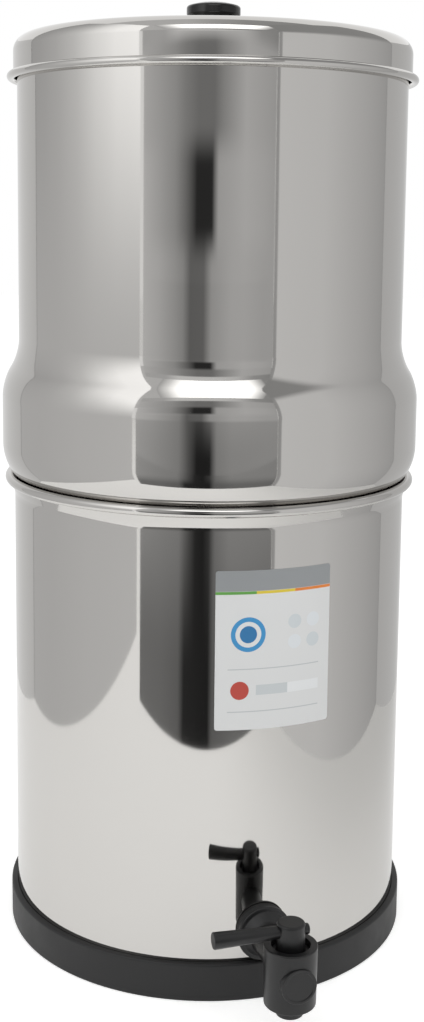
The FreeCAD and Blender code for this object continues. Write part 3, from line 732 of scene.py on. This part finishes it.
makeLabel()
print("label made")


# small CAD parts that stay as they are, each with its real finish

keptNodes = {
    "tap_outer_washer": tapWasherRubber, "tap_inner_washer": tapWasherRubber, "knob_washer": washerRubber,
    "knob_screw": screwSteel,
}
for number in range(1, candles["count"] + 1):
    keptNodes[f"candle_core_{number}"] = candleCarbon
    keptNodes[f"candle_washer_{number}"] = washerRubber
for nodeName, finish in keptNodes.items():
    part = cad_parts[nodeName]
    part.data.materials.clear()
    part.data.materials.append(finish)


# studio: pale floor, white surround, grey side screens that only the polished steel shows

studio = {
    "floorColour": "f1f1f0", "floorSize": 6.0,
    "surround": 1.0,         # what the camera and the steel see
    "softLight": 0.62,       # what the surround gives to matt surfaces
    "floorLift": 0.5,        # keeps the floor white to the camera
    "mirrorLift": 0.3,       # and in the steel, where it falls off to the right
    "mirrorFade": 0.38,      # metres to the right where none is left
    "turn": -16.0,           # degrees, the studio faces the camera
}
towardsCamera = Matrix.Rotation(math.radians(studio["turn"]), 4, "Z")


def addStage(name, bm, material):
    mesh = bpy.data.meshes.new(name)
    bm.to_mesh(mesh)
    bm.free()
    mesh.materials.append(material)
    thing = bpy.data.objects.new(name, mesh)
    bpy.context.scene.collection.objects.link(thing)
    return thing


def makeFloor():
    material, tree, shader, place = startMaterial("palePaper", Roughness=0.9)
    cloud = addNode(tree, "ShaderNodeTexNoise", {"Vector": place.outputs["Object"], "Scale": 4.0})
    tint = addNode(tree, "ShaderNodeValToRGB", {"Fac": cloud.outputs["Fac"]})
    base = sheetColour(studio["floorColour"])
    tint.color_ramp.elements[0].color = [c * 0.99 for c in base[:3]] + [1]
    tint.color_ramp.elements[1].color = base
    tree.links.new(tint.outputs["Color"], shader.inputs["Base Color"])
    rays = addNode(tree, "ShaderNodeLightPath")
    mirrored = addNode(tree, "ShaderNodeMath", {
        0: rays.outputs["Is Glossy Ray"], 1: rays.outputs["Is Transmission Ray"]},
        operation="ADD", use_clamp=True)
    turned = addNode(tree, "ShaderNodeMapping", {
        "Vector": place.outputs["Object"], "Rotation": (0, 0, math.radians(-studio["turn"]))})
    across = addNode(tree, "ShaderNodeSeparateXYZ", {"Vector": turned.outputs["Vector"]})
    fall = addNode(tree, "ShaderNodeMapRange", {
        "Value": across.outputs["X"], "From Min": 0.0, "From Max": studio["mirrorFade"],
        "To Min": studio["mirrorLift"], "To Max": 0.0}, interpolation_type="SMOOTHSTEP")
    steelLift = addNode(tree, "ShaderNodeMath", {0: mirrored.outputs["Value"], 1: fall.outputs["Result"]},
                        operation="MULTIPLY")
    lift = addNode(tree, "ShaderNodeMath", {
        0: rays.outputs["Is Camera Ray"], 1: studio["floorLift"], 2: steelLift.outputs["Value"]},
        operation="MULTIPLY_ADD")
    tree.links.new(lift.outputs["Value"], shader.inputs["Emission Strength"])
    shader.inputs["Emission Color"].default_value = (1, 1, 1, 1)
    bm = bmesh.new()
    bmesh.ops.create_circle(bm, cap_ends=True, segments=96, radius=studio["floorSize"])
    addStage("paleFloor", bm, material)


makeFloor()

# Each screen has its two ends as seen from above, its height, and the light along it, low down and high up.
# Between the two heights under "change" the light goes over from low to high.
frontLine = ((-0.30, -0.43), (0.27, -0.43))
darkMiddle = [(0, 0.66), (0.15, 0.52), (0.28, 0.38), (0.36, 0.2), (0.43, 0.03), (0.53, 0.03), (0.57, 0.5),
              (0.75, 0.6), (0.9, 0.55), (1, 0.5)]
screens = {
    "leftScreen": {
        "ends": ((-0.43, -0.555), (-0.41, 0.165)), "height": 1.0, "change": (0.25, 0.6),
        "low": [(0, 0.69), (0.5, 0.65), (0.78, 0.60), (0.985, 0.59), (0.99, 0.3)],
        "high": [(0, 1.45), (0.28, 1.4), (0.46, 1.15), (0.6, 0.8), (0.74, 0.6), (0.87, 0.5), (0.985, 0.45),
                 (0.99, 0.25)]},
    "rightScreen": {
        "ends": ((0.272, -0.43), (0.42, 0.135)), "height": 1.0, "change": (0.5, 0.6),
        "low": [(0, 0.4), (0.03, 0.42), (0.035, 0.76), (0.4, 0.72), (0.6, 0.62), (0.83, 0.52), (0.985, 0.46),
                (0.99, 0.3)],
        "high": [(0, 0.33), (1, 0.36)]},
    "frontScreenLow": {
        "ends": frontLine, "height": 0.20, "change": (0.05, 0.19),
        "low": [(0, 0.22), (0.2, 0.2), (0.33, 0.16), (0.37, 0.03), (0.53, 0.02), (0.56, 0.15), (0.7, 0.2),
                (1, 0.2)],
        "high": [(0, 0.42), (0.2, 0.34), (0.33, 0.3), (0.4, 0.11), (0.44, 0.03), (0.49, 0.02), (0.53, 0.06),
                 (0.57, 0.24), (0.66, 0.33), (1, 0.32)]},
    "frontScreen": {
        "ends": frontLine, "base": 0.20, "height": 0.135, "change": (0.21, 0.29),
        "low": [(0, 0.5), (0.15, 0.42), (0.28, 0.34), (0.34, 0.3), (0.4, 0.12), (0.45, 0.02), (0.53, 0.02),
                (0.57, 0.3), (0.66, 0.36), (0.9, 0.38), (1, 0.38)],
        "high": [(0, 0.66), (0.15, 0.56), (0.28, 0.42), (0.34, 0.34), (0.39, 0.16), (0.48, 0.17),
                 (0.53, 0.42), (0.66, 0.54), (0.75, 0.55), (0.9, 0.5), (1, 0.5)]},
    "frontScreenMiddle": {
        "ends": frontLine, "base": 0.335, "height": 0.08, "change": (0.345, 0.375),
        "low": [(0, 0.66), (0.15, 0.58), (0.28, 0.44), (0.34, 0.36), (0.39, 0.17), (0.48, 0.18), (0.53, 0.44),
                (0.66, 0.55), (0.75, 0.57), (0.9, 0.52), (1, 0.5)],
        "high": darkMiddle},
    "frontScreenTop": {
        "ends": frontLine, "base": 0.415, "height": 0.085, "change": (0.415, 0.445),
        "low": darkMiddle,
        "high": [(0, 0.6), (0.15, 0.5), (0.28, 0.4), (0.35, 0.3), (0.44, 0.22), (0.54, 0.22), (0.6, 0.34),
                 (0.75, 0.58), (0.9, 0.52), (1, 0.48)]},
    "frontScreenLid": {
        "ends": frontLine, "base": 0.50, "height": 0.06, "change": (0.497, 0.512),
        "low": [(0, 0.6), (0.15, 0.5), (0.28, 0.4), (0.35, 0.3), (0.44, 0.24), (0.54, 0.25), (0.6, 0.36),
                (0.75, 0.57), (0.9, 0.5), (1, 0.45)],
        "high": [(0, 0.53), (0.2, 0.53), (0.3, 0.76), (0.6, 0.74), (0.72, 0.66), (0.85, 0.4), (1, 0.33)]},
    "ceilingScreen": {
        "ends": ((-0.9, -0.95), (0.9, -0.95)), "base": 0.63, "height": 0.9, "lean": 0.95,
        "change": (0.63, 1.53),
        "low": [(0, 0.65), (0.42, 0.62), (0.5, 0.45), (0.6, 0.36), (1, 0.34)],
        "high": [(0, 0.65), (0.42, 0.62), (0.5, 0.5), (0.6, 0.4), (1, 0.34)]},
    "topGlow": {
        "ends": ((-0.36, -0.745), (0.40, -0.745)), "base": 0.744, "height": 0.232, "lean": 0.25,
        "change": (0.744, 0.976),
        "low": [(0, 0.5), (0.1, 0.9), (0.2, 1.7), (0.3, 2.2), (0.75, 2.2), (0.86, 1.6), (0.95, 0.8),
                (1, 0.5)],
        "high": [(0, 0.5), (0.1, 1.1), (0.2, 2.0), (0.3, 2.4), (0.75, 2.4), (0.86, 1.9), (0.95, 0.9),
                 (1, 0.5)]},
    "leftRearScreen": {
        "ends": ((-0.41, 0.16), (-0.12, 0.52)), "height": 0.56, "change": (0.1, 0.5),
        "low": [(0, 0.66), (0.5, 0.78), (1, 0.85)], "high": [(0, 0.66), (0.5, 0.78), (1, 0.85)]},
    "rightRearScreen": {
        "ends": ((0.42, 0.13), (0.12, 0.52)), "height": 0.56, "change": (0.1, 0.5),
        "low": [(0, 0.58), (0.5, 0.6), (1, 0.85)], "high": [(0, 0.58), (0.5, 0.6), (1, 0.85)]},
}


def makeScreen(name, ends, height, change, low, high, base=0.0, lean=0.0):
    # a flat sheet that glows, which only the polished steel shows
    first, last = (Vector((*end, 0)) for end in ends)
    across = last - first
    material = bpy.data.materials.new(name)
    material.use_nodes = True
    tree = material.node_tree
    tree.nodes.clear()
    place = addNode(tree, "ShaderNodeTexCoord")
    parts = addNode(tree, "ShaderNodeSeparateXYZ", {"Vector": place.outputs["UV"]})
    raised = addNode(tree, "ShaderNodeMapRange", {
        "Value": parts.outputs["Y"], "From Min": (change[0] - base) / height,
        "From Max": (change[1] - base) / height}, interpolation_type="SMOOTHSTEP")
    mix = addNode(tree, "ShaderNodeMix", {"Factor": raised.outputs["Result"]}, data_type="RGBA")
    for stops, socket in ((low, 6), (high, 7)):
        ramp = addNode(tree, "ShaderNodeValToRGB", {"Fac": parts.outputs["X"]})
        elements = ramp.color_ramp.elements
        while len(elements) < len(stops):
            elements.new(0.5)
        for element, (position, level) in zip(elements, stops):
            element.position = position
            element.color = (level, level, level, 1)
        tree.links.new(ramp.outputs["Color"], mix.inputs[socket])
    glow = addNode(tree, "ShaderNodeEmission", {"Color": mix.outputs[2]})
    addNode(tree, "ShaderNodeOutputMaterial", {"Surface": glow.outputs["Emission"]})
    bm = bmesh.new()
    bmesh.ops.create_grid(bm, x_segments=1, y_segments=1, size=0.5)
    sheet = bm.loops.layers.uv.new("sheet")
    for face in bm.faces:
        for loop in face.loops:
            loop[sheet].uv = (loop.vert.co.x + 0.5, loop.vert.co.y + 0.5)
    for vert in bm.verts:
        rise = vert.co.y + 0.5
        flat = first + across * (vert.co.x + 0.5) + Vector((0, lean * rise, base + height * rise))
        vert.co = towardsCamera @ flat
    screen = addStage(name, bm, material)
    screen.visible_camera = False
    screen.visible_diffuse = False
    screen.visible_shadow = False


for screenName, values in screens.items():
    makeScreen(screenName, **values)


def makeWorld():
    world = bpy.data.worlds.new("whiteSurround")
    bpy.context.scene.world = world
    world.use_nodes = True
    tree = world.node_tree
    tree.nodes.clear()
    rays = addNode(tree, "ShaderNodeLightPath")
    seen = addNode(tree, "ShaderNodeMath", {
        0: rays.outputs["Is Camera Ray"], 1: rays.outputs["Is Glossy Ray"]}, operation="ADD")
    seenAll = addNode(tree, "ShaderNodeMath", {
        0: seen.outputs["Value"], 1: rays.outputs["Is Transmission Ray"]}, operation="ADD", use_clamp=True)
    level = addNode(tree, "ShaderNodeMapRange", {
        "Value": seenAll.outputs["Value"], "To Min": studio["softLight"], "To Max": studio["surround"]})
    sky = addNode(tree, "ShaderNodeBackground", {"Color": (1, 1, 1, 1), "Strength": level.outputs["Result"]})
    addNode(tree, "ShaderNodeOutputWorld", {"Surface": sky.outputs["Background"]})


makeWorld()

# soft boxes: one above in front, one each side
lamps = {
    "topBox": {"place": (0.0, -0.62, 0.86), "aim": (0.0, -0.1, 0.3), "size": (0.60, 0.34), "power": 1.7},
    "leftBox": {"place": (-1.3, -1.2, 1.3), "aim": (0.0, 0.0, 0.25), "size": (0.9, 0.9), "power": 6.0},
    "rightBox": {"place": (1.4, -0.9, 1.1), "aim": (0.0, 0.0, 0.25), "size": (0.9, 0.9), "power": 4.0},
}
for lampName, values in lamps.items():
    light = bpy.data.lights.new(lampName, "AREA")
    light.shape = "RECTANGLE"
    light.size, light.size_y = values["size"]
    light.energy = values["power"]
    lamp = bpy.data.objects.new(lampName, light)
    bpy.context.scene.collection.objects.link(lamp)
    lamp.location = towardsCamera @ Vector(values["place"])
    aim = towardsCamera @ Vector(values["aim"]) - lamp.location
    lamp.rotation_euler = aim.to_track_quat("-Z", "Y").to_euler()
    lamp.visible_camera = False
    lamp.visible_glossy = lampName != "topBox"  # the glow screen shows it in the steel, with soft ends
print("studio made")


# camera at the photograph's place: in front, a little to the left and above

view = {"place": (-0.2082, -0.7259, 0.3813), "tilt": 0.13274, "yaw": 0.00172,
        "roll": 0.595, "lens": 49.89, "shift": -0.104}


def makeCamera():
    turn = Matrix.Rotation(math.radians(studio["turn"]), 3, "Z")
    tilt, yaw = view["tilt"], view["yaw"]
    ahead = turn @ Vector((math.sin(yaw) * math.cos(tilt), math.cos(yaw) * math.cos(tilt), -math.sin(tilt)))
    right = ahead.cross(up).normalized()
    above = right.cross(ahead)
    roll = math.radians(view["roll"])
    rolledRight = right * math.cos(roll) + above * math.sin(roll)
    rolledAbove = above * math.cos(roll) - right * math.sin(roll)
    frameAxes = Matrix((rolledRight, rolledAbove, -ahead)).transposed().to_4x4()
    lens = bpy.data.cameras.new("photoCamera")
    lens.lens = view["lens"]
    lens.sensor_width = 36
    lens.shift_y = view["shift"]
    lens.clip_start = 0.01
    camera = bpy.data.objects.new("photoCamera", lens)
    bpy.context.scene.collection.objects.link(camera)
    camera.matrix_world = Matrix.Translation(view["place"]) @ frameAxes
    bpy.context.scene.camera = camera


makeCamera()
bpy.context.scene.view_settings.view_transform = "Standard"
